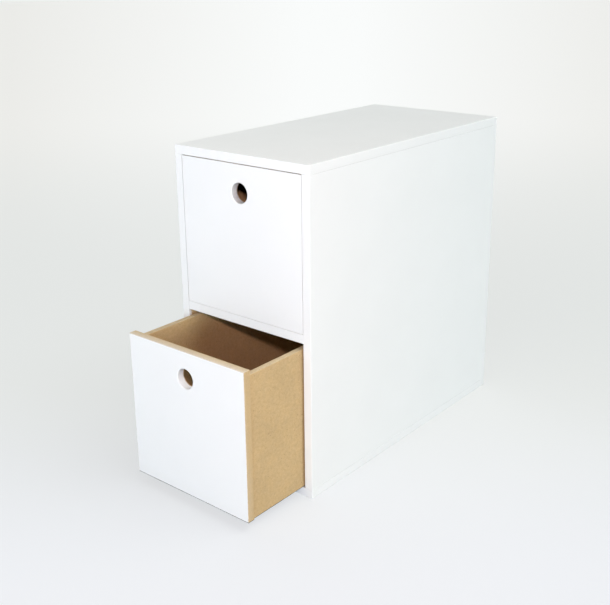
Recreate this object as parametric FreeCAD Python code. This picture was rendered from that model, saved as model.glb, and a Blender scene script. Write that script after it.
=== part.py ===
"""Tabletop storage cabinet for compact discs, with two drawers one above the other.

The cabinet is a box of painted fibreboard: a top and a bottom over the whole plan, two sides between
them, a shelf that parts the two bays and a back let in between the sides. Each bay holds a drawer of
raw fibreboard with a painted front and a finger hole. The discs' cases stand in it on end.

Frame: X across the width, Y from the front to the back, Z up, in millimetres.
Origin: the middle of the cabinet's underside.
"""
import FreeCAD, Part
import os

# ---- Cabinet -------------------------------------------------------------------------------------
overall_width = 170.0
overall_depth = 334.0
overall_height = 330.0
top_board = 9.0
bottom_board = 9.0
side_board = 9.0
shelf_board = 9.0
back_board = 6.0
cabinet_edge_radius = 0.6

# ---- Drawers -------------------------------------------------------------------------------------
front_board = 8.0
drawer_side_board = 6.0
drawer_back_board = 6.0
floor_board = 3.0
floor_lift = 4.0            # from the drawer's underside to the floor's underside
groove_depth = 3.0          # of the groove around the inside that holds the floor
rim_drop = 5.5              # from the front's top edge down to the top of the sides and back
drawer_edge_radius = 0.4
finger_hole_diameter = 20.0
finger_hole_drop = 27.5     # from the front's top edge down to the hole's middle
finger_hole_rim_radius = 0.8
lower_drawer_opening = 80.0
upper_drawer_opening = 0.0

# ---- Clearances ----------------------------------------------------------------------------------
running_gap = 0.3           # under a drawer
front_top_gap = 0.7
front_side_gap = 0.6
box_side_gap = 2.0          # between a drawer's side and the wall of its bay
rear_gap = 0.5              # behind a closed drawer
floor_slack = 0.4           # from the floor's edge to the bottom of its groove

# ---- Brads ---------------------------------------------------------------------------------------
brad_length = 20.0
brad_shank_diameter = 1.2
brad_head_diameter = 1.8
brad_head_height = 0.8
brad_tip_length = 1.5
brad_tip_diameter = 0.3
brad_head_depth = 1.0       # filler over a sunk head, which counts as part of the board
brad_end_margin = 26.0      # from a board's end to its first brad
panel_brad_count = 4        # down each long edge of the top and the bottom
shelf_brad_count = 3        # through each side into the shelf
back_brad_count = 3         # through each side into the back
corner_brad_count = 3       # up each corner of a drawer

# ---- Worked out from the sizes above -------------------------------------------------------------
half_width = overall_width / 2
front_y = -overall_depth / 2
rear_y = overall_depth / 2
bay_half_width = half_width - side_board
bay_height = (overall_height - top_board - bottom_board - shelf_board) / 2
shelf_z = bottom_board + bay_height
upper_bay_z = shelf_z + shelf_board
top_z = overall_height - top_board
back_y = rear_y - back_board

drawer_length = back_y - rear_gap - front_y
front_half_width = bay_half_width - front_side_gap
front_height = bay_height - running_gap - front_top_gap
box_half_width = bay_half_width - box_side_gap
box_inner_half_width = box_half_width - drawer_side_board
box_height = front_height - rim_drop


def board(x_span, y_span, z_span, edge_radius=0.0):
    """A flat board between three pairs of limits, with its edges softened."""
    lows = [min(x_span), min(y_span), min(z_span)]
    sizes = [max(span) - low for span, low in zip((x_span, y_span, z_span), lows)]
    box = Part.makeBox(*sizes, FreeCAD.Vector(*lows))
    if edge_radius > 0:
        box = box.makeFillet(edge_radius, box.Edges)
    return box


def spaced(low, high, count):
    """Evenly spaced places between two ends, each end set in by the margin."""
    first = low + brad_end_margin
    step = (high - low - 2 * brad_end_margin) / (count - 1)
    return [first + step * index for index in range(count)]


def brad(entry, direction):
    """A steel brad driven in at a point on a board's face, with its head sunk under the face."""
    head_start = entry + direction * brad_head_depth
    shank_start = head_start + direction * brad_head_height
    tip_start = head_start + direction * (brad_length - brad_tip_length)
    shank_length = brad_length - brad_head_height - brad_tip_length
    head = Part.makeCylinder(brad_head_diameter / 2, brad_head_height, head_start, direction)
    shank = Part.makeCylinder(brad_shank_diameter / 2, shank_length, shank_start, direction)
    tip = Part.makeCone(brad_shank_diameter / 2, brad_tip_diameter / 2, brad_tip_length, tip_start, direction)
    return head.fuse([shank, tip]).removeSplitter()


def cabinet():
    """The fixed case: six boards and the brads that hold them."""
    panel_x = (-half_width, half_width)
    panel_y = (front_y, rear_y)
    side_z = (bottom_board, top_z)
    side_middle = half_width - side_board / 2
    panel_brad_y = spaced(*panel_y, panel_brad_count)
    down = FreeCAD.Vector(0, 0, -1)
    up = FreeCAD.Vector(0, 0, 1)

    top_brads = []
    bottom_brads = []
    shelf_brads = []
    back_brads = []
    for side in (-1, 1):
        inward = FreeCAD.Vector(-side, 0, 0)
        for y in panel_brad_y:
            top_brads.append(brad(FreeCAD.Vector(side * side_middle, y, overall_height), down))
            bottom_brads.append(brad(FreeCAD.Vector(side * side_middle, y, 0), up))
        for y in spaced(front_y, back_y, shelf_brad_count):
            shelf_entry = FreeCAD.Vector(side * half_width, y, shelf_z + shelf_board / 2)
            shelf_brads.append(brad(shelf_entry, inward))
        for z in spaced(*side_z, back_brad_count):
            back_entry = FreeCAD.Vector(side * half_width, back_y + back_board / 2, z)
            back_brads.append(brad(back_entry, inward))

    nodes = {
        "top_panel": board(panel_x, panel_y, (top_z, overall_height), cabinet_edge_radius).cut(top_brads),
        "bottom_panel": board(panel_x, panel_y, (0, bottom_board), cabinet_edge_radius).cut(bottom_brads),
    }
    for name, side in (("left_side_panel", -1), ("right_side_panel", 1)):
        side_x = (side * bay_half_width, side * half_width)
        panel = board(side_x, panel_y, side_z, cabinet_edge_radius)
        nodes[name] = panel.cut(top_brads + bottom_brads + shelf_brads + back_brads)
    bay_x = (-bay_half_width, bay_half_width)
    shelf = board(bay_x, (front_y, back_y), (shelf_z, upper_bay_z), cabinet_edge_radius)
    back = board(bay_x, (back_y, rear_y), side_z, cabinet_edge_radius)
    nodes["divider_shelf"] = shelf.cut(shelf_brads)
    nodes["back_panel"] = back.cut(back_brads)
    nodes["top_panel_brads"] = Part.makeCompound(top_brads)
    nodes["bottom_panel_brads"] = Part.makeCompound(bottom_brads)
    nodes["shelf_brads"] = Part.makeCompound(shelf_brads)
    nodes["back_panel_brads"] = Part.makeCompound(back_brads)
    return nodes


def finger_hole(middle_z, face_y):
    """The cutter for a finger hole whose rim is rounded at the front's outer face."""
    radius = finger_hole_diameter / 2
    backward = FreeCAD.Vector(0, 1, 0)
    mouth = FreeCAD.Vector(0, face_y, middle_z)
    bore = Part.makeCylinder(radius, front_board, mouth, backward)
    flare = Part.makeCylinder(radius + finger_hole_rim_radius, finger_hole_rim_radius, mouth, backward)
    roll_middle = mouth + backward * finger_hole_rim_radius
    roll_path_radius = radius + finger_hole_rim_radius
    roll = Part.makeTorus(roll_path_radius, finger_hole_rim_radius, roll_middle, backward)
    return bore.fuse(flare.cut(roll))


def drawer(name, bay_z, opening):
    """One drawer in the bay whose floor is at bay_z, pulled out by the opening."""
    face_y = front_y - opening
    inner_front_y = face_y + front_board
    end_y = face_y + drawer_length
    inner_end_y = end_y - drawer_back_board
    base_z = bay_z + running_gap
    front_top_z = base_z + front_height
    rim_z = base_z + box_height
    floor_z = (base_z + floor_lift, base_z + floor_lift + floor_board)
    box_z = (base_z, rim_z)
    box_x = (-box_half_width, box_half_width)
    side_middle = box_half_width - drawer_side_board / 2
    backward = FreeCAD.Vector(0, 1, 0)
    forward = FreeCAD.Vector(0, -1, 0)

    groove_half_width = box_inner_half_width + groove_depth
    groove_x = (-groove_half_width, groove_half_width)
    groove_y = (inner_front_y - groove_depth, inner_end_y + groove_depth)
    groove = board(groove_x, groove_y, floor_z)
    floor_x = (groove_x[0] + floor_slack, groove_x[1] - floor_slack)
    floor_y = (groove_y[0] + floor_slack, groove_y[1] - floor_slack)

    front_brads = []
    rear_brads = []
    for side in (-1, 1):
        for z in spaced(*box_z, corner_brad_count):
            front_brads.append(brad(FreeCAD.Vector(side * side_middle, face_y, z), backward))
            rear_brads.append(brad(FreeCAD.Vector(side * side_middle, end_y, z), forward))

    front_x = (-front_half_width, front_half_width)
    front = board(front_x, (face_y, inner_front_y), (base_z, front_top_z), drawer_edge_radius)
    hole = finger_hole(front_top_z - finger_hole_drop, face_y)
    rear = board(box_x, (inner_end_y, end_y), box_z, drawer_edge_radius)
    nodes = {
        name + "_front": front.cut([hole, groove] + front_brads),
        name + "_back": rear.cut([groove] + rear_brads),
        name + "_floor": board(floor_x, floor_y, floor_z),
        name + "_front_brads": Part.makeCompound(front_brads),
        name + "_back_brads": Part.makeCompound(rear_brads),
    }
    for hand, side in (("left", -1), ("right", 1)):
        side_x = (side * box_inner_half_width, side * box_half_width)
        wall = board(side_x, (inner_front_y, inner_end_y), box_z, drawer_edge_radius)
        nodes[name + "_" + hand + "_side"] = wall.cut([groove] + front_brads + rear_brads)
    return nodes


def main():
    pieces = cabinet()
    pieces.update(drawer("lower_drawer", bottom_board, lower_drawer_opening))
    pieces.update(drawer("upper_drawer", upper_bay_z, upper_drawer_opening))
    os.makedirs("parts", exist_ok=True)
    for name, shape in pieces.items():
        shape.exportStep("parts/" + name + ".step")


main()
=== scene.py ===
# Storage cabinet for compact discs, dressed for show: a painted case and two drawers with finger holes.
# Lengths are in metres, in the frame of the packed part: X across, Y from front to back, Z up.
import math

import bmesh
import bpy
import numpy as np
from mathutils import Matrix, Quaternion, Vector, noise


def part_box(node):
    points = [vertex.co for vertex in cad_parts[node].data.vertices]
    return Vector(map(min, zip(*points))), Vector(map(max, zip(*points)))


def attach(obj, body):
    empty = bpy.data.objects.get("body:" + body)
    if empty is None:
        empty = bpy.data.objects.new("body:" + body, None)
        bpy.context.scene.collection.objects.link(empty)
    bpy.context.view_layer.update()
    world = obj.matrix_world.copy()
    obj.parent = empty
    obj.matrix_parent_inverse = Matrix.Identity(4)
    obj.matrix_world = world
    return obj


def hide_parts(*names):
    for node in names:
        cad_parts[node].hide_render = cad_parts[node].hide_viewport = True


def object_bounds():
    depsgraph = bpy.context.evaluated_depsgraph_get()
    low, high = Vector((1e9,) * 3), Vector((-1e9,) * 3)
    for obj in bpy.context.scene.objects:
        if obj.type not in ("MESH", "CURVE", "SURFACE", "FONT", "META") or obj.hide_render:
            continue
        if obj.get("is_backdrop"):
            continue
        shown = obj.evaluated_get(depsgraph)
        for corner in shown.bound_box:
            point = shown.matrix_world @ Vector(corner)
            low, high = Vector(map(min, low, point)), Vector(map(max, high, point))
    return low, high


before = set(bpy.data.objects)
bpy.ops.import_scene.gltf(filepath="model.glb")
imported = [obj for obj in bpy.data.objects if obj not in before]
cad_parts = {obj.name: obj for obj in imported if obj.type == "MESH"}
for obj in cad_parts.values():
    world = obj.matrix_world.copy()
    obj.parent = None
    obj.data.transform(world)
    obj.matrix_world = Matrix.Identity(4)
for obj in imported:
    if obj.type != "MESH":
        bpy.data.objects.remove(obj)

bl_info = {
    "name": "Compact Disc Cabinet",
    "version": (1, 0, 0),
    "blender": (4, 5, 0),
    "location": "View3D > Sidebar > Cabinet",
    "description": "Builds a painted cabinet with two raw fibreboard drawers around its packed part",
    "category": "Object",
}

CAD_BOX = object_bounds()
CASE_LOW, CASE_HIGH = (Vector(corner) for corner in zip(*(
    (min(ends), max(ends)) for ends in zip(*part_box("top_panel"), *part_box("bottom_panel"))
)))
CASE_BOARDS = (
    "top_panel", "bottom_panel", "left_side_panel", "right_side_panel", "divider_shelf", "back_panel",
)
DRAWERS = ("lower_drawer", "upper_drawer")
BOX_BOARDS = ("left_side", "right_side", "back", "floor")
# How far inside the paint a point is, in lengths of PAINT_EDGE: painted above 0 and bare below it.
PAINT_EDGE = 0.0004
FULLY_PAINTED = 3.0
FULLY_RAW = -30.0
# The drawer whose lower edges carry a painted shadow line, the darkest tone of a dark line, and how far
# towards that tone the case's joint grooves go.
SHADOW_LINED_DRAWER = "lower_drawer"
DARK_LINE_TONE = 0.05
JOINT_SEAM = 0.5
# How far the ends of a board look like its long cut edges.
END_GRAIN = 0.08
# Places closer than SAME are one place. NEAR allows for the rounding of packed limits too.
SAME = 1e-6
NEAR = 1e-5


# ---- What a user may change ----

def length(name, description, default):
    """A length property in metres."""
    return bpy.props.FloatProperty(
        name=name, description=description, default=default, min=0.0, precision=5, unit="LENGTH"
    )


def colour(name, description, default):
    """A colour property, as linear red, green and blue."""
    return bpy.props.FloatVectorProperty(
        name=name, description=description, default=default, size=3, min=0.0, max=1.0, subtype="COLOR"
    )


def amount(name, description, default, top=1.0):
    """A plain number property."""
    return bpy.props.FloatProperty(name=name, description=description, default=default, min=0.0, max=top)


def how_many(name, description, default):
    """A property that counts the brads in a row."""
    return bpy.props.IntProperty(name=name, description=description, default=default, min=2)


class CabinetSizes(bpy.types.PropertyGroup):
    """Sizes of the details that the boards' own limits don't give."""

    lattice_pitch: length("Lattice pitch", "Longest side of a face on a board", 0.012)
    case_arris: length("Case arris", "Rounding of the case's outer edges", 0.0006)
    bay_arris: length("Bay arris", "Rounding of the edges around the two bays", 0.0004)
    joint_arris: length("Joint arris", "Rounding of an edge that meets another board", 0.0003)
    drawer_arris: length("Drawer arris", "Rounding of a drawer board's edges", 0.0004)
    # The rounding along the lower drawer's lower edges, which also sets how wide their painted shadow line
    # is.
    rubbed_arris: length("Rubbed arris", "Rounding of a drawer's rubbed lower edges", 0.0011)
    arris_wear: amount("Arris wear", "How far sanding has flattened the rounded edges", 0.35)
    groove_depth: length("Groove depth", "Depth of the groove that holds a drawer's floor", 0.003)
    hole_diameter: length("Finger hole", "Diameter of a finger hole", 0.020)
    hole_drop: length("Finger hole drop", "From a front's top edge to its hole's middle", 0.0275)
    hole_rim: length("Finger hole rim", "Rounding of a finger hole at the outer face", 0.0008)
    hole_break: length("Finger hole break", "Rounding of a finger hole at the inner face", 0.00015)
    hole_paint: length("Finger hole paint", "How deep the paint goes into a finger hole", 0.0072)
    lower_drawer_lip: length("Lower lip", "How far paint wraps round the lower front", 0.0)
    upper_drawer_lip: length("Upper lip", "How far paint wraps round the upper front", 0.0015)
    mist_reach: length("Mist reach", "How far paint mist goes into a bay", 0.003)


class BradSizes(bpy.types.PropertyGroup):
    """The steel brads that hold the boards."""

    length: length("Length", "From head to tip", 0.020)
    shank: length("Shank", "Diameter of the shank", 0.0012)
    head: length("Head", "Diameter of the head", 0.0018)
    head_height: length("Head height", "Thickness of the head", 0.0008)
    tip: length("Tip", "Length of the tapered tip", 0.0015)
    point: length("Point", "Diameter of the point", 0.0003)
    sunk: length("Sunk", "Filler over a head", 0.001)
    margin: length("End margin", "From a board's end to its first brad", 0.026)
    panel_count: how_many("Panel brads", "Down each long edge of the top and bottom", 4)
    joint_count: how_many("Joint brads", "Down each other joint", 3)


class CabinetColours(bpy.types.PropertyGroup):
    """Colours and finish of the cabinet."""

    paint: colour("Paint", "Satin white paint", (0.875, 0.885, 0.885))
    fibre: colour("Fibre", "Sanded face of raw fibreboard", (0.583, 0.418, 0.222))
    fibre_dark: colour("Dark fibre", "Darker fibres in it", (0.48, 0.325, 0.155))
    fibre_light: colour("Light fibre", "Lighter fibres in it", (0.665, 0.495, 0.285))
    cut: colour("Cut edge", "Cut edge of raw fibreboard", (0.645, 0.52, 0.335))
    speck: colour("Speck", "Specks of bark in the board", (0.23, 0.13, 0.055))
    steel: colour("Steel", "Bright steel of the brads", (0.62, 0.61, 0.59))
    paint_roughness: amount("Paint roughness", "Roughness of the satin paint", 0.42)
    fibre_roughness: amount("Fibre roughness", "Roughness of raw fibreboard", 0.88)


class StageSettings(bpy.types.PropertyGroup):
    """Floor and lights."""

    bounce: colour("Bounce", "What the floor sends back of its light", (0.37, 0.37, 0.37))
    floor: colour("Floor", "What is seen of that", (0.22, 0.22, 0.22))
    # What the floor shows of its glow is painted light: dimmer beside the case and brighter far behind it.
    near_glow: colour("Near glow", "Even tone of the floor in front", (0.625, 0.65, 0.685))
    side_glow: colour("Side glow", "The same, beside the case", (0.585, 0.605, 0.595))
    far_glow: colour("Far glow", "The same, far behind", (0.80, 0.81, 0.805))
    edge_glow: colour("Edge glow", "The same, far to both sides", (0.68, 0.675, 0.65))
    low_right: amount("Low right", "Light from low on the right", 12.6, 30.0)
    low_right_tint: colour("Low right tint", "Its tint", (0.86, 1.0, 0.94))
    high_right: amount("High right", "Light from above on the right", 3.15, 30.0)
    high_right_tint: colour("High right tint", "Its tint", (0.98, 1.0, 0.95))
    behind: amount("Behind", "Light from behind", 0.85, 30.0)
    behind_tint: colour("Behind tint", "Its tint", (0.9, 0.95, 1.0))
    low_front: amount("Low front", "Light from low in front", 14.1, 30.0)
    low_front_tint: colour("Low front tint", "Its tint", (0.6, 0.8, 1.0))
    panel_watts: amount("Front panel", "Watts of the panel in front", 25.6, 100.0)
    panel_tint: colour("Front panel tint", "Its tint", (1.0, 0.99, 0.90))
    lamp_watts: amount("Lamp", "Watts of the lamp over the camera", 3.3, 100.0)
    lamp_tint: colour("Lamp tint", "Its tint", (1.0, 0.705, 0.68))


SETTINGS = {
    "cabinet_sizes": CabinetSizes,
    "brad_sizes": BradSizes,
    "cabinet_colours": CabinetColours,
    "stage_settings": StageSettings,
}


# ---- Nodes ----

# Noise mostly lies between these two.
NOISE_LOW = 0.3
NOISE_HIGH = 0.7
# Patterns of noise: features to the metre, detail and roughness.
FIBRES = (1300.0, 4.0, 0.68)
TUFTS = (330.0, 3.0, 0.6)
MOTTLE = (120.0, 3.0, 0.6)
BOARD_CLOUDS = (26.0, 2.0, 0.55)
BOARD_SHEEN = (500.0, 2.0, 0.5)
PEEL = (620.0, 1.0, 0.4)
STIPPLE = (2600.0, 2.0, 0.5)
FIBRES_UNDER_PAINT = (800.0, 3.0, 0.6)
PAINT_CLOUDS = (18.0, 2.0, 0.5)
PAINT_SHEEN = (75.0, 3.0, 0.6)
PAINT_RAGS = (900.0, 3.0, 0.6)
STEEL_STREAKS = (4000.0, 3.0, 0.6)

# Raw fibreboard. LAYERS draws out the thickness into layers, and FIBRE_STOPS is where the three shades lie.
LAYERS = 5.0
FIBRE_SHARE = 0.6
TUFT_SHARE = 0.4
FIBRE_STOPS = (0.30, 0.5, 0.72)
CUT_TONES = (0.80, 1.16)
CLOUD_TONES = (0.96, 1.03)
WARM_TINT = (1.0, 0.97, 0.88)
WARM_SHARE = 0.5
FACE_RELIEF = 0.35
# Bark specks: cells to the metre, the share that stay empty, and a speck's core, rim and strength.
SPECK_CELLS = 420.0
SPECK_FREE = 0.93
SPECK_CORE = 0.14
SPECK_RIM = 0.24
SPECK_STRENGTH = 0.65

# Satin paint: its faintest tone, the heights of what roughens it, and its ragged and faded end.
PAINT_TONE = 0.985
PEEL_HEIGHT = 0.16
STIPPLE_HEIGHT = 0.05
UNDER_PAINT_HEIGHT = 0.22
RAGGEDNESS = 0.9
PAINT_FADE = 0.5
# A haze of paint past its end: its reach, its strength, and how much of a cut edge takes it whole.
HAZE_REACH = 18.0
HAZE_STRENGTH = 0.3
HAZE_EDGE = 3.0 * END_GRAIN

# How far a finish's roughness strays from its setting, and the depth of its relief in metres.
PAINT_SHEEN_CHANGES = (-0.05, 0.06)
BOARD_SHEEN_CHANGES = (-0.06, 0.06)
PAINT_RELIEF = 0.00011
BOARD_RELIEF = 0.00013
PAINT_GLOSS = 0.45
BOARD_GLOSS = 0.2
STEEL_TONES = (0.85, 1.05)
STEEL_ROUGHNESS = (0.28, 0.42)


def set_inputs(tree, node, inputs):
    """Sets a node's inputs to values, or links them to sockets."""
    for key, value in inputs.items():
        socket = node.inputs[key]
        if isinstance(value, bpy.types.NodeSocket):
            tree.links.new(value, socket)
        else:
            socket.default_value = (*value, 1.0) if socket.type == "RGBA" else value


def add_node(tree, kind, inputs=None, **settings):
    """Adds a node with its settings, its input values and its links."""
    node = tree.nodes.new(kind)
    for name, value in settings.items():
        setattr(node, name, value)
    set_inputs(tree, node, inputs or {})
    return node


def result(tree, kind, inputs=None, **settings):
    """The first output of a new node."""
    return add_node(tree, kind, inputs, **settings).outputs[0]


def calculate(tree, operation, *values):
    """The result of a maths node on numbers or sockets."""
    return result(tree, "ShaderNodeMath", dict(enumerate(values)), operation=operation)


def plus(tree, first, second):
    """The sum of two numbers or sockets."""
    return calculate(tree, "ADD", first, second)


def times(tree, first, second):
    """The product of two numbers or sockets."""
    return calculate(tree, "MULTIPLY", first, second)


def scaled(tree, colour_in, factor):
    """A colour times a number."""
    inputs = {0: colour_in, "Scale": factor}
    return result(tree, "ShaderNodeVectorMath", inputs, operation="SCALE")


def along(tree, place, way):
    """How far a place lies along a direction."""
    inputs = {0: place, 1: way}
    return add_node(tree, "ShaderNodeVectorMath", inputs, operation="DOT_PRODUCT").outputs["Value"]


def blend(tree, share, first, second, blend_type="MIX"):
    """The colour that lies between two colours."""
    inputs = {0: share, 6: first, 7: second}
    return add_node(tree, "ShaderNodeMix", inputs, data_type="RGBA", blend_type=blend_type).outputs[2]


def remap(tree, value, low, high, new_low=0.0, new_high=1.0, smooth=False):
    """A number moved from one range to another."""
    kind = "SMOOTHSTEP" if smooth else "LINEAR"
    inputs = {"Value": value, 1: low, 2: high, 3: new_low, 4: new_high}
    return result(tree, "ShaderNodeMapRange", inputs, interpolation_type=kind)


def vary(tree, pattern, low, high):
    """A number that a pattern of noise moves between low and high."""
    return remap(tree, pattern, NOISE_LOW, NOISE_HIGH, low, high)


def grain(tree, place, pattern):
    """Noise from 0 to 1, from one of the patterns above."""
    per_metre, detail, roughness = pattern
    inputs = {"Vector": place, "Scale": per_metre, "Detail": detail, "Roughness": roughness}
    return result(tree, "ShaderNodeTexNoise", inputs)


def stored(tree, name, output="Fac"):
    """An attribute that the mesh stores."""
    return add_node(tree, "ShaderNodeAttribute", attribute_name=name).outputs[output]


def new_group(name, **outputs):
    """A shader node group with outputs only, each given with its kind of socket."""
    group = bpy.data.node_groups.new(name, "ShaderNodeTree")
    for socket_name, kind in outputs.items():
        group.interface.new_socket(socket_name, in_out="OUTPUT", socket_type="NodeSocket" + kind)
    return group


def board_places(tree):
    """A point's place in its board, and the same with the thickness drawn out into layers."""
    place = stored(tree, "board_at", "Vector")
    inputs = {0: place, 1: (1.0, 1.0, LAYERS)}
    return place, result(tree, "ShaderNodeVectorMath", inputs, operation="MULTIPLY")


def seam_tone(tree):
    """1 on a board's faces, darker on a dark line: the painted shadow on the lower drawer's lower edges, and
    the case's joint grooves.
    """
    return remap(tree, stored(tree, "seam"), 0.0, 1.0, 1.0, DARK_LINE_TONE)


def fibreboard_group(colours):
    """Raw fibreboard: fine fibres, soft cloudiness, bark specks and layered cut edges."""
    tree = new_group("Fibreboard", Colour="Color", Height="Float")
    place, layered = board_places(tree)
    cut_edge = stored(tree, "cut_edge")
    fibres = times(tree, grain(tree, layered, FIBRES), FIBRE_SHARE)
    mixed = plus(tree, fibres, times(tree, grain(tree, layered, TUFTS), TUFT_SHARE))

    face = add_node(tree, "ShaderNodeValToRGB", {"Fac": mixed})
    stops = face.color_ramp.elements
    stops.new(FIBRE_STOPS[1])
    shades = (colours.fibre_dark, colours.fibre, colours.fibre_light)
    for stop, position, shade in zip(stops, FIBRE_STOPS, shades):
        stop.position = position
        stop.color = (*shade, 1.0)
    cut = scaled(tree, colours.cut, vary(tree, mixed, *CUT_TONES))
    body = blend(tree, cut_edge, face.outputs["Color"], cut)

    cells = add_node(tree, "ShaderNodeTexVoronoi", {"Vector": layered, "Scale": SPECK_CELLS}).outputs
    lot = result(tree, "ShaderNodeSeparateColor", {"Color": cells["Color"]})
    rare = calculate(tree, "GREATER_THAN", lot, SPECK_FREE)
    near = remap(tree, cells["Distance"], SPECK_CORE, SPECK_RIM, SPECK_STRENGTH, 0.0, smooth=True)
    body = blend(tree, times(tree, rare, near), body, colours.speck)

    clouds = vary(tree, grain(tree, place, BOARD_CLOUDS), *CLOUD_TONES)
    mottle = grain(tree, place, MOTTLE)
    body = scaled(tree, body, times(tree, clouds, vary(tree, mottle, *CLOUD_TONES)))
    body = blend(tree, vary(tree, mottle, 0.0, WARM_SHARE), body, WARM_TINT, "MULTIPLY")
    # Darker along a dark line: the painted shadow on the lower drawer's lower edges.
    body = scaled(tree, body, seam_tone(tree))
    height = times(tree, mixed, remap(tree, cut_edge, 0.0, 1.0, FACE_RELIEF, 1.0))
    add_node(tree, "NodeGroupOutput", {"Colour": body, "Height": height})
    return tree


def paint_group(colours):
    """Sprayed satin paint: orange peel, stipple, fibres that show on cut edges, and how far it covers."""
    tree = new_group("Satin paint", Colour="Color", Roughness="Float", Height="Float", Cover="Float")
    place, layered = board_places(tree)
    cut_edge = stored(tree, "cut_edge")
    reach = stored(tree, "paint")

    clouds = vary(tree, grain(tree, place, PAINT_CLOUDS), PAINT_TONE, 1.0)
    # The paint darkens along a dark line: the painted shadow on the lower drawer front's lower edge, and deep
    # in the case's joint grooves.
    body = scaled(tree, colours.paint, times(tree, clouds, seam_tone(tree)))
    sheens = (colours.paint_roughness + change for change in PAINT_SHEEN_CHANGES)
    roughness = vary(tree, grain(tree, place, PAINT_SHEEN), *sheens)

    peel = times(tree, grain(tree, place, PEEL), PEEL_HEIGHT)
    stipple = times(tree, grain(tree, place, STIPPLE), STIPPLE_HEIGHT)
    streaks = times(tree, grain(tree, layered, FIBRES_UNDER_PAINT), cut_edge)
    height = plus(tree, plus(tree, peel, stipple), times(tree, streaks, UNDER_PAINT_HEIGHT))

    ragged = remap(tree, grain(tree, place, PAINT_RAGS), 0.0, 1.0, -RAGGEDNESS, RAGGEDNESS)
    cover = remap(tree, plus(tree, reach, ragged), -PAINT_FADE, PAINT_FADE, smooth=True)
    on_edges = calculate(tree, "MINIMUM", calculate(tree, "DIVIDE", cut_edge, HAZE_EDGE), 1.0)
    haze = times(tree, remap(tree, reach, -HAZE_REACH, 0.0, 0.0, HAZE_STRENGTH), on_edges)
    cover = calculate(tree, "MAXIMUM", cover, haze)
    outputs = {"Colour": body, "Roughness": roughness, "Height": height, "Cover": cover}
    add_node(tree, "NodeGroupOutput", outputs)
    return tree


def group_outputs(tree, name, make_group, colours):
    """The outputs of a group, made the first time that a material asks for it."""
    group = bpy.data.node_groups.get(name) or make_group(colours)
    return add_node(tree, "ShaderNodeGroup", node_tree=group).outputs


def new_material(name):
    """An empty node material and its shader."""
    material = bpy.data.materials.new(name)
    material.use_nodes = True
    tree = material.node_tree
    tree.nodes.clear()
    shader = tree.nodes.new("ShaderNodeBsdfPrincipled")
    add_node(tree, "ShaderNodeOutputMaterial", {"Surface": shader.outputs[0]})
    return material, tree, shader


def raised(tree, height, depth):
    """A normal bent by a height of 0 to 1, at its full depth in metres."""
    return result(tree, "ShaderNodeBump", {"Strength": 1.0, "Distance": depth, "Height": height})


def painted_fibreboard(colours):
    """Fibreboard under satin paint, bare where the paint ends."""
    material, tree, shader = new_material("painted_fibreboard")
    board = group_outputs(tree, "Fibreboard", fibreboard_group, colours)
    paint = group_outputs(tree, "Satin paint", paint_group, colours)
    cover = paint["Cover"]
    bare = times(tree, board["Height"], calculate(tree, "SUBTRACT", 1.0, cover))
    film = plus(tree, times(tree, paint["Height"], cover), cover)
    set_inputs(tree, shader, {
        "Base Color": blend(tree, cover, board["Colour"], paint["Colour"]),
        "Roughness": remap(tree, cover, 0.0, 1.0, colours.fibre_roughness, paint["Roughness"]),
        "Normal": raised(tree, plus(tree, bare, film), PAINT_RELIEF),
        "Specular IOR Level": PAINT_GLOSS,
    })
    return material


def bare_fibreboard(colours):
    """Bare fibreboard."""
    material, tree, shader = new_material("bare_fibreboard")
    board = group_outputs(tree, "Fibreboard", fibreboard_group, colours)
    layered = board_places(tree)[1]
    sheens = (colours.fibre_roughness + change for change in BOARD_SHEEN_CHANGES)
    set_inputs(tree, shader, {
        "Base Color": board["Colour"],
        "Roughness": vary(tree, grain(tree, layered, BOARD_SHEEN), *sheens),
        "Normal": raised(tree, board["Height"], BOARD_RELIEF),
        "Specular IOR Level": BOARD_GLOSS,
    })
    return material


def drawn_steel(colours):
    """Drawn steel wire with a faint streak."""
    material, tree, shader = new_material("drawn_steel")
    streak = grain(tree, add_node(tree, "ShaderNodeTexCoord").outputs["Object"], STEEL_STREAKS)
    set_inputs(tree, shader, {
        "Base Color": scaled(tree, colours.steel, vary(tree, streak, *STEEL_TONES)),
        "Roughness": vary(tree, streak, *STEEL_ROUGHNESS),
        "Metallic": 1.0,
    })
    return material


def finish(make_finish):
    """One of the materials above, made the first time that a piece asks for it."""
    made = bpy.data.materials.get(make_finish.__name__)
    return made or make_finish(bpy.context.scene.cabinet_colours)


# ---- Boards ----

# A finger hole: steps round a quarter turn of its rims, and shares along its wall and the face around it.
RIM_STEPS = 6
INNER_RIM_STRIDE = 3
WALL_STEPS = (0.4, 0.7)
FACE_STEPS = (0.25, 0.5, 0.75)
# The square window for it: the half side in diameters, the faces along a side, and the clear strip around.
WINDOW_HALF_SIDE = 0.75
WINDOW_PARTS = 24
WINDOW_MARGIN = 0.001
# Sanding: faces across an edge's rounding, and the scales, the finer one's share and the least of its wear.
ARRIS_SEGMENTS = 4
WEAR_SCALE = 70.0
FINE_WEAR_SCALE = 310.0
FINE_WEAR = 0.4
LEAST_WEAR = 0.2
SHARP_ANGLE = math.radians(50)
FLAT_FACE_WEIGHT = 70
# How far each board's pattern is moved on from the last one's.
PATTERN_SHIFT = (0.37, 0.61)


def ticks(low, high, stops, pitch):
    """Places along an axis: its ends, the stops between them, and even divisions no longer than the pitch."""
    marks = [low, *sorted(stop for stop in stops if low + SAME < stop < high - SAME), high]
    places = [low]
    for start, end in zip(marks, marks[1:]):
        if end - start < SAME:
            continue
        parts = max(1, math.ceil((end - start) / pitch - SAME))
        places += [start + (end - start) * (part + 1) / parts for part in range(parts)]
    return places


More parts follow.
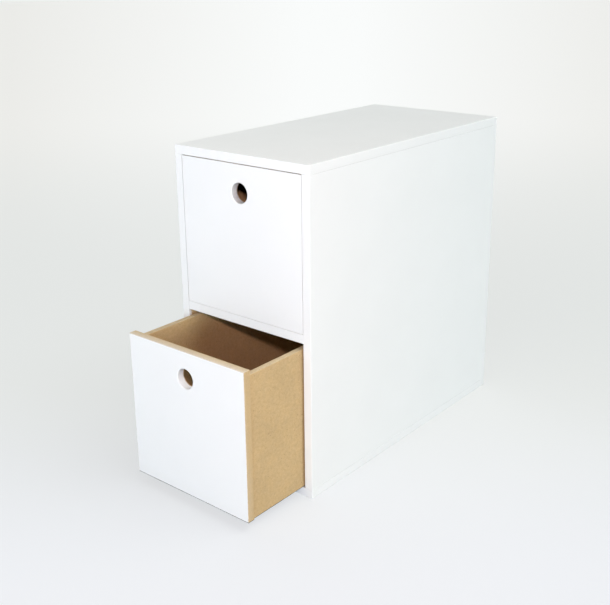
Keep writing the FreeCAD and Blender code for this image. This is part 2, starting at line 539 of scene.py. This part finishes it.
def carved_block(low, high, pockets, pitch, window=None):
    """A bmesh of a block less its pockets, each given as two corners, and the rims of its window as two lists
    of vertices. The window is open along Y, and given as its middle, half side and faces along a side."""
    stops = [[corner[axis] for pocket in pockets for corner in pocket] for axis in range(3)]
    lines = [ticks(low[axis], high[axis], stops[axis], pitch) for axis in range(3)]
    open_cells = set()
    if window:
        middle, half, parts = window
        for axis in (0, 2):
            side = [middle[axis] - half + 2 * half * step / parts for step in range(parts + 1)]
            outside = [place for place in lines[axis] if abs(place - middle[axis]) > half + WINDOW_MARGIN]
            lines[axis] = sorted(outside + side)
        first = [lines[axis].index(middle[axis] - half) for axis in (0, 2)]
        open_cells = {
            (first[0] + across, first[1] + up) for across in range(parts) for up in range(parts)
        }
    # Which cells are filled, with an empty one more on each side.
    middles = np.ix_(*(np.add(line[:-1], line[1:]) / 2 for line in lines))
    filled = np.ones([len(line) - 1 for line in lines], bool)
    for pocket in pockets:
        within = [(near < place) & (place < far) for near, place, far in zip(pocket[0], middles, pocket[1])]
        filled &= ~(within[0] & within[1] & within[2])
    filled = np.pad(filled, 1)
    block = bmesh.new()
    corners = {}

    def corner(place):
        """The vertex at a place of the lattice."""
        if place not in corners:
            corners[place] = block.verts.new([line[index] for line, index in zip(lines, place)])
        return corners[place]

    turn = ((0, 0), (1, 0), (1, 1), (0, 1))
    for cell in np.argwhere(filled) - 1:
        for axis, side in np.ndindex(3, 2):
            beyond = cell + 1
            beyond[axis] += 2 * side - 1
            if filled[tuple(beyond)] or (axis == 1 and (cell[0], cell[2]) in open_cells):
                continue
            axes = [axis, (axis + 1) % 3, (axis + 2) % 3]
            loop = []
            for steps in turn if side else reversed(turn):
                place = cell.copy()
                place[axes] += (side, *steps)
                loop.append(corner(tuple(place)))
            block.faces.new(loop)
    rims = []
    if window:
        path = [(step, 0) for step in range(parts)] + [(parts, step) for step in range(parts)]
        path += [(parts - across, parts - up) for across, up in path]
        rims = [
            [corner((first[0] + across, depth, first[1] + up)) for across, up in path]
            for depth in (0, len(lines[1]) - 1)
        ]
    return block, rims


def bore_hole(block, rims, middle, radius, outer_rim, inner_rim):
    """Closes a window with a round hole along Y, rounded at both faces."""
    front_y, rear_y = rims[0][0].co.y, rims[1][0].co.y
    count = len(rims[0])
    quarter = [math.pi / 2 * step / RIM_STEPS for step in range(RIM_STEPS + 1)]
    profile = [
        (radius + outer_rim * (1 - math.sin(turn)), front_y + outer_rim * (1 - math.cos(turn)))
        for turn in quarter
    ]
    profile += [(radius, front_y + (rear_y - front_y) * share) for share in WALL_STEPS]
    profile += [
        (radius + inner_rim * (1 - math.cos(turn)), rear_y - inner_rim * (1 - math.sin(turn)))
        for turn in quarter[::INNER_RIM_STRIDE]
    ]
    # The window's rims start at its lower left corner, and so do the rounds.
    angles = [math.radians(-135 + 360 * step / count) for step in range(count)]
    rounds = [
        [
            Vector((middle[0] + reach * math.cos(angle), y, middle[2] + reach * math.sin(angle)))
            for angle in angles
        ]
        for reach, y in profile
    ]

    def between(rim, ring):
        """Rings that turn the window's square into the hole's round."""
        return [[vertex.co.lerp(point, share) for vertex, point in zip(rim, ring)] for share in FACE_STEPS]

    places = between(rims[0], rounds[0]) + rounds + between(rims[1], rounds[-1])[::-1]
    rings = [rims[0]] + [[block.verts.new(place) for place in ring] for ring in places] + [rims[1]]
    for outer, inner in zip(rings, rings[1:]):
        for step in range(count):
            after = (step + 1) % count
            block.faces.new((outer[step], outer[after], inner[after], inner[step]))


def new_object(name, data):
    """An object in the scene."""
    item = bpy.data.objects.new(name, data)
    bpy.context.scene.collection.objects.link(item)
    return item


def object_from(block, name):
    """An object in the scene from a bmesh, which is freed."""
    mesh = bpy.data.meshes.new(name)
    block.to_mesh(mesh)
    block.free()
    return new_object(name, mesh)


def settle(piece):
    """Makes what a piece's modifiers give its own mesh."""
    graph = bpy.context.evaluated_depsgraph_get()
    drafted = piece.data
    piece.data = bpy.data.meshes.new_from_object(
        piece.evaluated_get(graph), preserve_all_data_layers=True, depsgraph=graph
    )
    piece.modifiers.clear()
    bpy.data.meshes.remove(drafted)
    piece.data.name = piece.name


def margins(place, low, high):
    """How far inside a box a place is, along each axis."""
    return [min(place[axis] - low[axis], high[axis] - place[axis]) for axis in range(3)]


def soften(piece, low, high, arris, wear):
    """Rounds a board's outer edges by the radius that arris gives for an edge's middle, flattens them as
    sanding does, and keeps the normals of flat faces flat."""
    mesh = piece.data
    radii = []
    for edge in mesh.edges:
        start, end = (mesh.vertices[index].co for index in edge.vertices)
        middle = (start + end) / 2
        on_limits = sum(gap < SAME for gap in margins(middle, low, high))
        radii.append(arris(middle) if on_limits == 2 else 0.0)
    widest = max(radii)
    weights = mesh.attributes.new("bevel_weight_edge", "FLOAT", "EDGE")
    weights.data.foreach_set("value", [radius / widest for radius in radii])
    bevel = piece.modifiers.new("round", "BEVEL")
    bevel.width = widest
    bevel.segments = ARRIS_SEGMENTS
    bevel.limit_method = "WEIGHT"
    settle(piece)

    mesh = piece.data
    for vertex in mesh.vertices:
        gaps = sorted(margins(vertex.co, low, high))
        if SAME < gaps[0] < widest and gaps[1] < widest:
            rub = noise.noise(vertex.co * WEAR_SCALE) + FINE_WEAR * noise.noise(vertex.co * FINE_WEAR_SCALE)
            rub = min(1.0, max(0.0, rub + LEAST_WEAR))
            sides = zip(vertex.co - low, high - vertex.co)
            inward = Vector([(over_low < widest) - (under_high < widest) for over_low, under_high in sides])
            vertex.co += inward.normalized() * gaps[0] * wear * rub
    mesh.polygons.foreach_set("use_smooth", [True] * len(mesh.polygons))
    mesh.set_sharp_from_angle(angle=SHARP_ANGLE)
    normals = piece.modifiers.new("flat_faces", "WEIGHTED_NORMAL")
    normals.keep_sharp = True
    normals.weight = FLAT_FACE_WEIGHT
    settle(piece)


def read_array(items, name, width=1, kind=float):
    """What a mesh's items hold under a name, as rows of an array."""
    values = np.zeros(len(items) * width, kind)
    items.foreach_get(name, values)
    return values.reshape(-1, width) if width > 1 else values


def mark_board(mesh, low, high, shift, paint, seam):
    """Stores on each face corner where it is in its board, how far it is a cut edge, how far inside the paint
    and how dark a line it lies on: a painted shadow line or a joint groove. paint and seam give the last
    two from arrays of points and normals."""
    counts = read_array(mesh.polygons, "loop_total", kind=np.int32)
    normals = np.repeat(read_array(mesh.polygons, "normal", 3), counts, axis=0)
    points = read_array(mesh.vertices, "co", 3)[read_array(mesh.loops, "vertex_index", kind=np.int32)]

    low, high = np.array(low), np.array(high)
    through = int(np.argmin(high - low))
    across = [axis for axis in range(3) if axis != through]
    places = (points - (low + high) / 2)[:, [*across, through]] + shift
    ends, long_edges = np.abs(normals[:, across]).T
    for name, kind, values in (
        ("board_at", "FLOAT_VECTOR", places),
        ("cut_edge", "FLOAT", np.hypot(ends * END_GRAIN, long_edges)),
        ("paint", "FLOAT", paint(points, normals)),
        ("seam", "FLOAT", seam(points, normals)),
    ):
        attribute = mesh.attributes.new(name, kind, "CORNER")
        attribute.data.foreach_set("vector" if kind == "FLOAT_VECTOR" else "value", np.ravel(values))


def all_raw(points, normals):
    """No paint anywhere."""
    return np.full(len(points), FULLY_RAW)


def rubbed_edge(node, low, arris):
    """A function that finds the rounded lower edge of a board of the drawer whose lower edges carry a painted
    shadow line.
    """

    def seam(points, normals):
        turning = (normals[:, 2] < -0.05) & (normals[:, 2] > -0.98)
        darkened = turning & (points[:, 2] - low.z < 1.1 * arris)
        # Painted shadow: the lower edge's rounding is dark in full, standing in for the shade under the open
        # drawer.
        return np.where(darkened & node.startswith(SHADOW_LINED_DRAWER), 1.0, 0.0)

    return seam


def drawer_arris(node, low, sizes):
    """A function that gives a drawer board's rounding, wider along the lower edge that carries the painted
    shadow line.
    """

    def arris(middle):
        darkened = node.startswith(SHADOW_LINED_DRAWER) and middle.z - low.z < SAME
        return sizes.rubbed_arris if darkened else sizes.drawer_arris

    return arris


def make_board(node, body, make_finish, arris, paint, seam=None, pockets=(), hole=None):
    """A board with rounded edges that rides on a body and stands for a packed node."""
    sizes = bpy.context.scene.cabinet_sizes
    low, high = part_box(node)
    window = (hole, sizes.hole_diameter * WINDOW_HALF_SIDE, WINDOW_PARTS) if hole else None
    block, rims = carved_block(low, high, pockets, sizes.lattice_pitch, window)
    if hole:
        bore_hole(block, rims, hole, sizes.hole_diameter / 2, sizes.hole_rim, sizes.hole_break)
    piece = object_from(block, node + "_board")
    soften(piece, low, high, arris, sizes.arris_wear)
    number = sorted(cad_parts).index(node)
    shift = (*(step * number for step in PATTERN_SHIFT), 0.0)
    # Unless a function of its own is given, the dark line is the painted shadow along the lower drawer's
    # lower edges.
    mark_board(piece.data, low, high, shift, paint, seam or rubbed_edge(node, low, sizes.rubbed_arris))
    piece.data.materials.append(finish(make_finish))
    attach(piece, body)
    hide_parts(node)
    return piece


# ---- Operators ----

# The case: how near the outside its faces are, how deep its front edges are, and a seam's reach in roundings.
OUTSIDE = 0.0001
FRONT_EDGE = 0.001
SEAM_REACH = 1.01
# The fronts: how far paint goes round a hole's rim, in roundings, and how fast the haze on their edges fades
# from a share of their height up.
HOLE_PAINT_REACH = 1.1
HAZE_FADE = 4.0
HAZE_FROM = 0.3


class CabinetOperator(bpy.types.Operator):
    """What the cabinet's operators share."""

    bl_options = {"REGISTER", "UNDO"}


class CABINET_OT_case(CabinetOperator):
    """Build the case: top, bottom, two sides, shelf and back, painted outside and bare inside the bays"""

    bl_idname = "cabinet.case"
    bl_label = "Case"

    def execute(self, context):
        sizes = context.scene.cabinet_sizes
        low, high = np.array(CASE_LOW), np.array(CASE_HIGH)
        bay_half_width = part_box("right_side_panel")[0].x + NEAR

        def arris(middle):
            """Softest on the case's outline, less so around a bay, and least in a joint."""
            if sum(gap < NEAR for gap in margins(middle, low, high)) >= 2:
                return sizes.case_arris
            around_bay = abs(middle.x) < bay_half_width and middle.y - low[1] < NEAR
            return sizes.bay_arris if around_bay else sizes.joint_arris

        def paint(points, normals):
            """Paint on the outside and the front edges, and its mist a little way into the bays."""
            depth = np.minimum(points - low, high - points).min(axis=1)
            flat = np.abs(normals).max(axis=1) > 0.999
            rows, axis = np.arange(len(points)), np.abs(normals).argmax(axis=1)
            at = points[rows, axis]
            toward = np.where(normals[rows, axis] > 0, high[axis] - at, at - low[axis])
            outside = np.where(flat, toward < OUTSIDE, depth < 2 * sizes.case_arris)
            mist = (sizes.mist_reach - (points[:, 1] - low[1])) / sizes.mist_reach
            return np.where(outside, FULLY_PAINTED, mist)

        def seam(points, normals):
            """The rounded edges of boards that meet in the case's outside, darkest deep in the groove where
            they touch.
            """
            gaps = np.sort(np.minimum(points - low, high - points), axis=1)
            in_seam = (gaps[:, 1] > 2 * sizes.case_arris) & (gaps[:, 0] < SEAM_REACH * sizes.joint_arris)
            around_bay = (np.abs(points[:, 0]) < bay_half_width) & (points[:, 1] - low[1] < FRONT_EDGE)
            return np.where(in_seam & ~around_bay, JOINT_SEAM * gaps[:, 0] / sizes.joint_arris, 0.0)

        for node in CASE_BOARDS:
            make_board(node, "cabinet", painted_fibreboard, arris, paint, seam)
        return {"FINISHED"}


class CABINET_OT_fronts(CabinetOperator):
    """Build the two drawer fronts: a painted face, bare edges and back, and a round finger hole"""

    bl_idname = "cabinet.fronts"
    bl_label = "Drawer fronts"

    def execute(self, context):
        sizes = context.scene.cabinet_sizes
        for drawer in DRAWERS:
            node = drawer + "_front"
            low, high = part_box(node)
            lip = getattr(sizes, drawer + "_lip")
            hole = Vector(((low.x + high.x) / 2, low.y, high.z - sizes.hole_drop))
            make_board(
                node, drawer, painted_fibreboard, drawer_arris(node, low, sizes),
                front_paint(low, high, lip, hole, sizes), pockets=[floor_groove(drawer, sizes)], hole=hole,
            )
        return {"FINISHED"}


def front_paint(low, high, lip, hole, sizes):
    """A function that finds a front's paint: its outer face, a lip round it, and most of the hole's wall."""

    def paint(points, normals):
        behind = points[:, 1] - low.y
        from_hole = np.hypot(points[:, 0] - hole.x, points[:, 2] - hole.z)
        in_hole = from_hole < sizes.hole_diameter / 2 + sizes.hole_rim * HOLE_PAINT_REACH
        reach = np.where(in_hole, sizes.hole_paint, lip)
        on_face = (normals[:, 1] < -0.99) & (behind < PAINT_EDGE)
        height = (points[:, 2] - low.z) / (high.z - low.z)
        fade = 1.0 + HAZE_FADE * (np.clip(height, HAZE_FROM, 1.0) - HAZE_FROM)
        fade = np.where(normals[:, 2] > 0.5, 1.0, fade)
        return np.where(on_face, FULLY_PAINTED, (reach - behind) / PAINT_EDGE * fade)

    return paint


def floor_groove(drawer, sizes):
    """The groove that a drawer's floor stands in, as two corners."""
    floor_low, floor_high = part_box(drawer + "_floor")
    inner_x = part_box(drawer + "_right_side")[0].x
    inner_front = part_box(drawer + "_front")[1].y
    inner_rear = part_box(drawer + "_back")[0].y
    depth = sizes.groove_depth
    return (
        Vector((-inner_x - depth, inner_front - depth, floor_low.z)),
        Vector((inner_x + depth, inner_rear + depth, floor_high.z)),
    )


class CABINET_OT_boxes(CabinetOperator):
    """Build the two drawer boxes: sides, back and floor of raw fibreboard"""

    bl_idname = "cabinet.boxes"
    bl_label = "Drawer boxes"

    def execute(self, context):
        sizes = context.scene.cabinet_sizes
        for drawer in DRAWERS:
            for board in BOX_BOARDS:
                node = drawer + "_" + board
                arris = drawer_arris(node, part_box(node)[0], sizes)
                pockets = [] if board == "floor" else [floor_groove(drawer, sizes)]
                make_board(node, drawer, bare_fibreboard, arris, all_raw, pockets=pockets)
        return {"FINISHED"}


# The sizes of a brad that its nodes take, as their sockets are named, and the sides of its round parts.
BRAD_SOCKETS = ("Length", "Shank", "Head", "Head height", "Tip", "Point", "Sunk")
BRAD_SIDES = 16


def brad_tree():
    """Geometry nodes that set brads along rows. A row is an edge from its first brad to its last, with their
    number and the way they are driven on its points."""
    tree = bpy.data.node_groups.new("Brads", "GeometryNodeTree")
    tree.interface.new_socket("Geometry", in_out="OUTPUT", socket_type="NodeSocketGeometry")
    kinds = {"Rows": "Geometry", **dict.fromkeys(BRAD_SOCKETS, "Float"), "Steel": "Material"}
    for name, kind in kinds.items():
        tree.interface.new_socket(name, in_out="INPUT", socket_type="NodeSocket" + kind)
    sizes = tree.nodes.new("NodeGroupInput").outputs

    def part(kind, start, height, **radii):
        """One turned part of the brad, standing on its start along Z."""
        solid = add_node(tree, kind, {"Vertices": BRAD_SIDES, "Depth": height, **radii})
        centred = kind == "GeometryNodeMeshCylinder"
        lift = plus(tree, start, times(tree, height, 0.5)) if centred else start
        offset = result(tree, "ShaderNodeCombineXYZ", {"Z": lift})
        inputs = {"Geometry": solid.outputs["Mesh"], "Translation": offset}
        return result(tree, "GeometryNodeTransform", inputs)

    def named(name, kind):
        """What the rows' points carry under a name."""
        return result(tree, "GeometryNodeInputNamedAttribute", {"Name": name}, data_type=kind)

    shank_start = plus(tree, sizes["Sunk"], sizes["Head height"])
    tip_start = calculate(tree, "SUBTRACT", plus(tree, sizes["Sunk"], sizes["Length"]), sizes["Tip"])
    shank_length = calculate(tree, "SUBTRACT", tip_start, shank_start)
    radius = {name: times(tree, sizes[name], 0.5) for name in ("Head", "Shank", "Point")}
    head = part("GeometryNodeMeshCylinder", sizes["Sunk"], sizes["Head height"], Radius=radius["Head"])
    shank = part("GeometryNodeMeshCylinder", shank_start, shank_length, Radius=radius["Shank"])
    ends = {"Radius Bottom": radius["Shank"], "Radius Top": radius["Point"]}
    tip = part("GeometryNodeMeshCone", tip_start, sizes["Tip"], **ends)
    brad = tree.nodes.new("GeometryNodeJoinGeometry")
    for solid in (head, shank, tip):
        tree.links.new(solid, brad.inputs[0])

    rows = result(tree, "GeometryNodeMeshToCurve", {"Mesh": sizes["Rows"]})
    inputs = {"Curve": rows, "Count": named("brads", "INT")}
    spots = result(tree, "GeometryNodeResampleCurve", inputs)
    inputs = {"Vector": named("drive", "FLOAT_VECTOR")}
    turn = result(tree, "FunctionNodeAlignRotationToVector", inputs, axis="Z")
    inputs = {"Points": spots, "Instance": brad.outputs[0], "Rotation": turn}
    placed = result(tree, "GeometryNodeInstanceOnPoints", inputs)
    inputs = {"Geometry": result(tree, "GeometryNodeRealizeInstances", {0: placed})}
    dressed = result(tree, "GeometryNodeSetMaterial", {**inputs, "Material": sizes["Steel"]})
    add_node(tree, "NodeGroupOutput", {"Geometry": dressed})
    return tree


def row(start, end, drive, count, margin):
    """A row of brads between two ends of a board, set in by the margin."""
    start, end = Vector(start), Vector(end)
    step = (end - start).normalized() * margin
    return start + step, end - step, drive, count


def case_rows(brads):
    """The case's rows of brads: through the top, the bottom, and each side into the shelf and the back."""
    top_low, top_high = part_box("top_panel")
    shelf_low, shelf_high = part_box("divider_shelf")
    back_low, back_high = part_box("back_panel")
    side_low, side_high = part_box("right_side_panel")
    shelf_z = (shelf_low.z + shelf_high.z) / 2
    back_y = (back_low.y + back_high.y) / 2
    panel, joint, margin = brads.panel_count, brads.joint_count, brads.margin
    rows = []
    for hand in (-1, 1):
        x = hand * (side_low.x + side_high.x) / 2
        for z, drive in ((top_high.z, (0, 0, -1)), (CASE_LOW.z, (0, 0, 1))):
            rows.append(row((x, top_low.y, z), (x, top_high.y, z), drive, panel, margin))
        x = hand * side_high.x
        inward = (-hand, 0, 0)
        rows.append(row((x, shelf_low.y, shelf_z), (x, shelf_high.y, shelf_z), inward, joint, margin))
        rows.append(row((x, back_y, side_low.z), (x, back_y, side_high.z), inward, joint, margin))
    return rows


def drawer_rows(drawer, brads):
    """The rows of brads in a drawer: through the front and the back into both sides."""
    side_low, side_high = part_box(drawer + "_right_side")
    front_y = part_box(drawer + "_front")[0].y
    rear_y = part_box(drawer + "_back")[1].y
    rows = []
    for hand in (-1, 1):
        x = hand * (side_low.x + side_high.x) / 2
        for y, drive in ((front_y, (0, 1, 0)), (rear_y, (0, -1, 0))):
            rows.append(row((x, y, side_low.z), (x, y, side_high.z), drive, brads.joint_count, brads.margin))
    return rows


def set_brads(name, body, rows, brads, nodes):
    """One mesh of all the brads in a body."""
    mesh = bpy.data.meshes.new(name)
    points = [point for first, last, drive, count in rows for point in (first, last)]
    mesh.from_pydata(points, [(2 * index, 2 * index + 1) for index in range(len(rows))], [])
    drives = np.repeat([drive for *ends, drive, count in rows], 2, axis=0)
    mesh.attributes.new("drive", "FLOAT_VECTOR", "POINT").data.foreach_set("vector", drives.ravel())
    counts = np.repeat([count for *ends, count in rows], 2)
    mesh.attributes.new("brads", "INT", "POINT").data.foreach_set("value", counts)
    piece = new_object(name, mesh)
    tree = bpy.data.node_groups.get("Brads") or brad_tree()
    modifier = piece.modifiers.new("brads", "NODES")
    modifier.node_group = tree
    sockets = {item.name: item.identifier for item in tree.interface.items_tree if item.in_out == "INPUT"}
    for socket in BRAD_SOCKETS:
        modifier[sockets[socket]] = getattr(brads, socket.lower().replace(" ", "_"))
    modifier[sockets["Steel"]] = finish(drawn_steel)
    settle(piece)
    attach(piece, body)
    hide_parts(*nodes)


class CABINET_OT_brads(CabinetOperator):
    """Set the steel brads in the case and in each drawer"""

    bl_idname = "cabinet.brads"
    bl_label = "Brads"

    def execute(self, context):
        brads = context.scene.brad_sizes
        nodes = ("top_panel_brads", "bottom_panel_brads", "shelf_brads", "back_panel_brads")
        set_brads("case_brads", "cabinet", case_rows(brads), brads, nodes)
        for drawer in DRAWERS:
            nodes = (drawer + "_front_brads", drawer + "_back_brads")
            set_brads(drawer + "_brads", drawer, drawer_rows(drawer, brads), brads, nodes)
        return {"FINISHED"}


# ---- Stage ----

CAMERA_PLACE = Vector((0.59368, -0.78458, 0.49637))
CAMERA_AIM = Vector((-0.07275, 0.01537, 0.16500))
CAMERA_ROLL = math.radians(-0.647)
CAMERA_LENS = 55.389
CAMERA_SHIFT = -0.06557
LAMP_RISE = 0.080
LAMP_SIZE = 0.03
PANEL_PLACE = Vector((-0.2, -2.5, 0.9))
PANEL_SIZE = 2.0
# The floor: a wide disc just under the case, and its roughness.
FLOOR_REACH = 14.0
FLOOR_SIDES = 96
FLOOR_GAP = 0.0001
FLOOR_ROUGHNESS = 0.8
# Its glow, painted light that is dimmer beside the case and brighter far behind: the ways back and across,
# and the spans in which one tone passes into the next, on the way back and, as slopes from a point in front
# of the case, to both sides.
WAY_BACK = (-0.6, 0.8, 0.0)
WAY_ACROSS = (0.8, 0.6, 0.0)
SIDE_GLOW_SPAN = (-0.35, 0.1)
FAR_GLOW_SPAN = (0.1, 2.2)
EDGE_GLOW_SPAN = (0.03, 0.33)
EDGE_GLOW_FROM = 1.1
EDGE_GLOW_OFFSET = 0.02
PALE_ROOM = (0.84, 0.86, 0.84)
# Patches of sky: the setting, then in degrees the azimuth (0 in front, 90 on the right), the elevation, and
# the angles at which a patch is whole and has faded.
SKY_PATCHES = (
    ("low_right", 80, 2, 4, 14),
    ("high_right", 115, 60, 8, 34),
    ("behind", 180, 30, 20, 60),
    ("low_front", 20, 2, 4, 18),
)


def seen_rays(tree):
    """1 for the rays that show a thing: to the camera, in a mirror or through glass."""
    path = add_node(tree, "ShaderNodeLightPath").outputs
    mirrored = calculate(tree, "MAXIMUM", path["Is Glossy Ray"], path["Is Transmission Ray"])
    return calculate(tree, "MAXIMUM", path["Is Camera Ray"], mirrored)


def patch_of_sky(tree, way, azimuth, elevation, whole, faded):
    """How far a direction lies in a round patch of sky: 1 within the whole angle and 0 past the faded one."""
    turn, rise = math.radians(azimuth), math.radians(elevation)
    middle = (math.sin(turn) * math.cos(rise), -math.cos(turn) * math.cos(rise), math.sin(rise))
    edges = (math.cos(math.radians(angle)) for angle in (faded, whole))
    return remap(tree, along(tree, way, middle), *edges, smooth=True)


def even_tone(tree, stage):
    """The floor's glow, painted light from near the camera to far behind the case: dimmer beside it, brighter
    far back.
    """
    place = add_node(tree, "ShaderNodeTexCoord").outputs["Object"]
    back = along(tree, place, WAY_BACK)
    beside = remap(tree, back, *SIDE_GLOW_SPAN, smooth=True)
    glow = blend(tree, beside, stage.near_glow, stage.side_glow)
    slope = calculate(tree, "DIVIDE", along(tree, place, WAY_ACROSS), plus(tree, back, EDGE_GLOW_FROM))
    slope = calculate(tree, "ABSOLUTE", plus(tree, slope, EDGE_GLOW_OFFSET))
    at_edges = remap(tree, slope, *EDGE_GLOW_SPAN)
    far = blend(tree, at_edges, stage.far_glow, stage.edge_glow)
    return blend(tree, remap(tree, back, *FAR_GLOW_SPAN, smooth=True), glow, far)


def lay_floor(stage):
    """A wide round floor, pale and plain. Part of its tone is a glow that shadows don't darken, so they stay
    soft;
    that glow is painted light, dimmer beside the case and brighter far behind.
    """
    block = bmesh.new()
    bmesh.ops.create_circle(block, cap_ends=True, segments=FLOOR_SIDES, radius=FLOOR_REACH)
    bmesh.ops.translate(block, verts=block.verts, vec=(0, 0, CASE_LOW.z - FLOOR_GAP))
    floor = object_from(block, "studio_floor")
    material, tree, shader = new_material("studio_floor")
    seen = seen_rays(tree)
    set_inputs(tree, shader, {
        "Base Color": blend(tree, seen, stage.bounce, stage.floor),
        "Emission Color": even_tone(tree, stage),
        "Emission Strength": seen,
        "Roughness": FLOOR_ROUGHNESS,
        "Specular IOR Level": 0.0,
    })
    floor.data.materials.append(material)
    floor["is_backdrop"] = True


def light_sky(scene, stage):
    """Soft light from a few broad patches of sky. What is seen of it is plain pale grey."""
    world = bpy.data.worlds.new("studio_sky")
    world.use_nodes = True
    tree = world.node_tree
    tree.nodes.clear()
    way = add_node(tree, "ShaderNodeTexCoord").outputs["Generated"]
    light = (0.0, 0.0, 0.0)
    for setting, *place in SKY_PATCHES:
        full = Vector(getattr(stage, setting + "_tint")) * getattr(stage, setting)
        patch = patch_of_sky(tree, way, *place)
        mask = result(tree, "ShaderNodeCombineXYZ", {0: patch, 1: patch, 2: patch})
        inputs = {0: full, 1: mask, 2: light}
        light = result(tree, "ShaderNodeVectorMath", inputs, operation="MULTIPLY_ADD")
    lit = add_node(tree, "ShaderNodeBackground", {"Color": light, "Strength": 1.0})
    pale = add_node(tree, "ShaderNodeBackground", {"Color": PALE_ROOM, "Strength": 1.0})
    inputs = {0: seen_rays(tree), 1: lit.outputs[0], 2: pale.outputs[0]}
    mixed = add_node(tree, "ShaderNodeMixShader", inputs)
    add_node(tree, "ShaderNodeOutputWorld", {"Surface": mixed.outputs[0]})
    scene.world = world


def hang_lamp(name, place, aim, size, watts, tint):
    """A square lamp that faces a point and isn't itself seen."""
    data = bpy.data.lights.new(name, "AREA")
    data.shape = "SQUARE"
    data.size = size
    data.energy = watts
    data.color = tint
    lamp = new_object(name, data)
    lamp.location = place
    lamp.rotation_euler = (aim - place).to_track_quat("-Z", "Y").to_euler()
    lamp.visible_camera = False


def set_camera(scene):
    """The camera, a little above the case and to its right."""
    data = bpy.data.cameras.new("camera")
    data.lens = CAMERA_LENS
    data.shift_y = CAMERA_SHIFT
    camera = new_object("camera", data)
    look = (CAMERA_AIM - CAMERA_PLACE).to_track_quat("-Z", "Y")
    turn = look @ Quaternion((0, 0, 1), CAMERA_ROLL)
    camera.matrix_world = Matrix.Translation(CAMERA_PLACE) @ turn.to_matrix().to_4x4()
    scene.camera = camera
    scene.view_settings.view_transform = "Standard"


class CABINET_OT_stage(CabinetOperator):
    """Set the floor, the soft sky, the lamps and the camera"""

    bl_idname = "cabinet.stage"
    bl_label = "Stage"

    def execute(self, context):
        stage = context.scene.stage_settings
        lay_floor(stage)
        light_sky(context.scene, stage)
        set_camera(context.scene)
        over_camera = CAMERA_PLACE + Vector((0, 0, LAMP_RISE))
        middle = (CASE_LOW + CASE_HIGH) / 2
        hang_lamp("camera_lamp", over_camera, CAMERA_AIM, LAMP_SIZE, stage.lamp_watts, stage.lamp_tint)
        hang_lamp("front_panel", PANEL_PLACE, middle, PANEL_SIZE, stage.panel_watts, stage.panel_tint)
        return {"FINISHED"}


class CABINET_PT_panel(bpy.types.Panel):
    """The cabinet's operators and settings in the sidebar"""

    bl_idname = "CABINET_PT_panel"
    bl_label = "Compact Disc Cabinet"
    bl_space_type = "VIEW_3D"
    bl_region_type = "UI"
    bl_category = "Cabinet"

    def draw(self, context):
        for operator in STEPS:
            self.layout.operator(operator.bl_idname)
        for name, settings in SETTINGS.items():
            box = self.layout.box()
            box.label(text=settings.__doc__.rstrip("."))
            for setting in settings.__annotations__:
                box.prop(getattr(context.scene, name), setting)


STEPS = (CABINET_OT_case, CABINET_OT_fronts, CABINET_OT_boxes, CABINET_OT_brads, CABINET_OT_stage)


def register():
    """Registers the settings, the operators and the panel."""
    for settings in SETTINGS.values():
        bpy.utils.register_class(settings)
    for name, settings in SETTINGS.items():
        setattr(bpy.types.Scene, name, bpy.props.PointerProperty(type=settings))
    for operator in STEPS:
        bpy.utils.register_class(operator)
    bpy.utils.register_class(CABINET_PT_panel)


def unregister():
    """Takes away what register added."""
    bpy.utils.unregister_class(CABINET_PT_panel)
    for operator in reversed(STEPS):
        bpy.utils.unregister_class(operator)
    for name in SETTINGS:
        delattr(bpy.types.Scene, name)
    for settings in reversed(SETTINGS.values()):
        bpy.utils.unregister_class(settings)


def main():
    """Builds the cabinet piece by piece and works out its box before and after."""
    register()
    bpy.ops.cabinet.case()
    bpy.ops.cabinet.fronts()
    bpy.ops.cabinet.boxes()
    bpy.ops.cabinet.brads()
    bpy.ops.cabinet.stage()
    boxes = {"cad": CAD_BOX, "visual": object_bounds()}
    {name: [list(corner) for corner in box] for name, box in boxes.items()}


if __name__ == "__main__":
    main()
